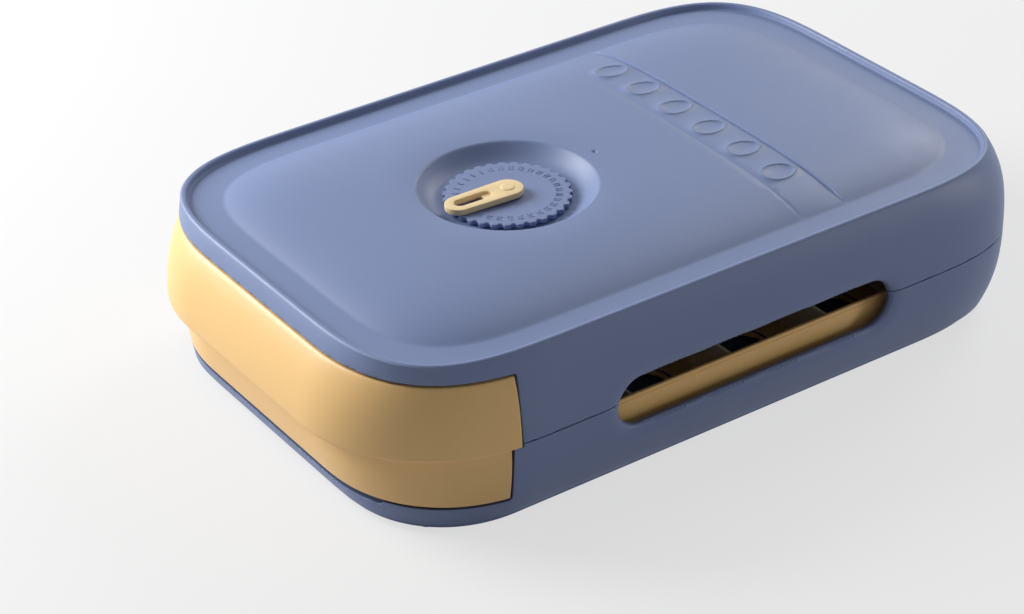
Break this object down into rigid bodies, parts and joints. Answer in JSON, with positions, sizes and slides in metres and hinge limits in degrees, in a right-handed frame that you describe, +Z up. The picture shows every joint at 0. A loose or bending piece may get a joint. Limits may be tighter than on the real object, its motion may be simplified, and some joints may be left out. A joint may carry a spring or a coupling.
{
  "type": "egg keeper with flip lid",
  "caption": "Egg keeper: rear-hinged domed lid over a case with a slide-out egg drawer, side windows and a round date dial with a pointer.",
  "frame": {"origin": "middle of the footprint, on the surface that the keeper stands on", "axes": "+X to the right seen from the drawer front, +Y along the case from the drawer front to the hinge, +Z up"},
  "size_m": [0.206, 0.322, 0.0772],
  "materials": {
    "case_blue": "fine matt moulded plastic",
    "dial_blue": "fine matt moulded plastic",
    "drawer_yellow": "satin moulded plastic",
    "divider_cream": "satin moulded plastic",
    "pointer_cream": "satin moulded plastic",
    "pin_steel": "plain drawn steel",
    "foot_rubber": "soft matt rubber"
  },
  "bodies": {
    "base": {"lower_shell": "case_blue", "hinge_pin_left": "pin_steel", "hinge_pin_right": "pin_steel", "foot_front_left": "foot_rubber", "foot_front_right": "foot_rubber", "foot_rear_left": "foot_rubber", "foot_rear_right": "foot_rubber"},
    "lid": {"upper_shell": "case_blue"},
    "drawer": {"drawer_tray": "drawer_yellow", "drawer_floor": "drawer_yellow", "drawer_front": "drawer_yellow", "divider_long_1": "divider_cream", "divider_long_2": "divider_cream", "divider_long_3": "divider_cream", "divider_cross_1": "divider_cream", "divider_cross_2": "divider_cream", "divider_cross_3": "divider_cream", "divider_cross_4": "divider_cream", "divider_cross_5": "divider_cream"},
    "dial": {"date_dial": "dial_blue", "dial_clip": "pin_steel"},
    "pointer": {"date_pointer": "pointer_cream", "pointer_pin": "pointer_cream"}
  },
  "joints": [
    {"name": "lid_hinge", "type": "hinge", "parent": "base", "child": "lid", "pos_m": [0, 0.1575, 0.0356], "axis": [-1, 0, 0], "range_deg": [0, 110]},
    {"name": "drawer_slide", "type": "slide", "parent": "base", "child": "drawer", "axis": [0, -1, 0], "range_m": [0, 0.22]},
    {"name": "dial_turn", "type": "hinge", "parent": "lid", "child": "dial", "pos_m": [0, -0.0388, 0.071], "axis": [0, 0, 1], "continuous": true},
    {"name": "pointer_turn", "type": "hinge", "parent": "dial", "child": "pointer", "pos_m": [0, -0.0388, 0.073], "axis": [0, 0, 1], "continuous": true}
  ]
}
